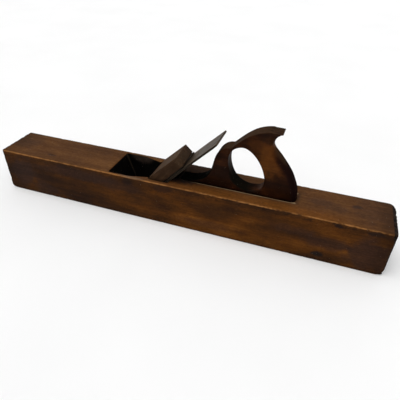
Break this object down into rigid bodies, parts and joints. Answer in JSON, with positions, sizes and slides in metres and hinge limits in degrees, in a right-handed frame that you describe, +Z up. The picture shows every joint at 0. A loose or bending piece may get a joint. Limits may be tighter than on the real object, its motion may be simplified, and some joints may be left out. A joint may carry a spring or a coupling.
{
  "type": "wooden try plane",
  "caption": "Long wooden hand plane with closed tote handle, open throat, forked wedge and tapered double iron on a sloping bed; iron, cap iron, wedge and screw move.",
  "frame": {"origin": "middle of the sole: bottom centre of the whole object's box", "axes": "+X from toe to heel along the stock, +Z up from the sole, -Y the plane's left side"},
  "size_m": [0.711, 0.084, 0.1978],
  "materials": {
    "stock_wood": "old oiled beech, worn",
    "tote_wood": "dark hand-polished beech",
    "wedge_wood": "dusty grey-brown beech",
    "iron_steel": "dull, patinated and pitted",
    "cap_iron_steel": "dull, dark patina",
    "boss_brass": "tarnished",
    "screw_steel": "dull, slotted"
  },
  "bodies": {
    "stock_body": {"stock": "stock_wood", "tote": "tote_wood"},
    "iron_body": {"cutting_iron": "iron_steel"},
    "cap_iron_body": {"cap_iron": "cap_iron_steel", "cap_iron_boss": "boss_brass"},
    "screw_body": {"cap_screw": "screw_steel"},
    "wedge_body": {"wedge": "wedge_wood"}
  },
  "joints": [
    {"name": "iron_slide", "type": "slide", "parent": "stock_body", "child": "iron_body", "axis": [0.6947, 0, 0.7193], "range_m": [-0.0025, 0.13]},
    {"name": "cap_iron_slide", "type": "slide", "parent": "iron_body", "child": "cap_iron_body", "axis": [0.6965, 0, 0.7176], "range_m": [0, 0.07]},
    {"name": "wedge_slide", "type": "slide", "parent": "cap_iron_body", "child": "wedge_body", "axis": [0.6965, 0, 0.7176], "range_m": [0, 0.12]},
    {"name": "cap_screw_turn", "type": "hinge", "parent": "cap_iron_body", "child": "screw_body", "pos_m": [-0.05113, 0, 0.04891], "axis": [-0.7176, 0, 0.6965], "range_deg": [0, 720]}
  ]
}
